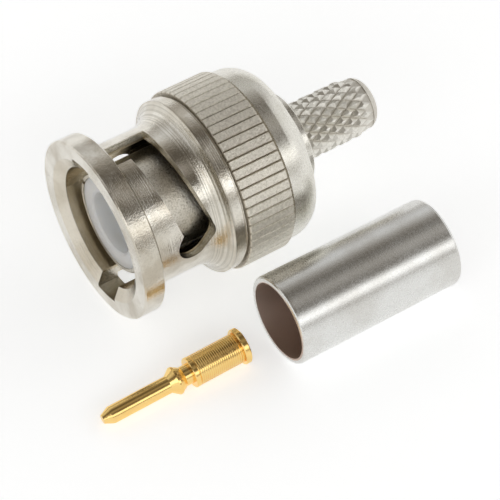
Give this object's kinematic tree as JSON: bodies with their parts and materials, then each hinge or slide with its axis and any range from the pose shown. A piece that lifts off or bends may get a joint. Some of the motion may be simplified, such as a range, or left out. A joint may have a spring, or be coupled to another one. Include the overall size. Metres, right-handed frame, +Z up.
{
  "type": "coaxial bayonet plug",
  "caption": "Crimp coaxial plug with a bayonet coupling sleeve, lying on its side beside its loose crimp ferrule and centre contact.",
  "frame": {"origin": "centre of the plug's mouth, on its axis, in the plane of the coupling ring's front face", "axes": "+X runs back along the plug's axis from the mouth to the cable end, +Z is up, and the loose pieces lie on the -Y side"},
  "size_m": [0.0305, 0.0229, 0.0144],
  "materials": {
    "nickel_plated_brass": "bright nickel plate over turned brass",
    "ferrule_nickel": "nickel plate over drawn brass tube",
    "gold_plated_brass": "gold plate over turned brass",
    "spring_steel": "plain spring steel",
    "insulator_plastic": "milky white turned fluoropolymer",
    "silicone_rubber": "moulded silicone"
  },
  "bodies": {
    "plug_body": {"outer_contact": "nickel_plated_brass", "rear_body": "nickel_plated_brass", "insulator": "insulator_plastic", "gasket": "silicone_rubber", "wave_washer": "spring_steel", "crimp_ferrule": "ferrule_nickel", "centre_contact": "gold_plated_brass"},
    "washer": {"thrust_washer": "nickel_plated_brass"},
    "sleeve": {"coupling_sleeve": "nickel_plated_brass"}
  },
  "joints": [
    {"name": "sleeve_pull", "type": "slide", "parent": "plug_body", "child": "washer", "axis": [-1, 0, 0], "range_m": [0, 0.0005], "stiffness_N_per_m": 4000, "springref_m": -0.0004, "deforming": ["wave_washer"]},
    {"name": "sleeve_turn", "type": "hinge", "parent": "washer", "child": "sleeve", "pos_m": [0.0125, 0, 0], "axis": [-1, 0, 0], "continuous": true}
  ]
}
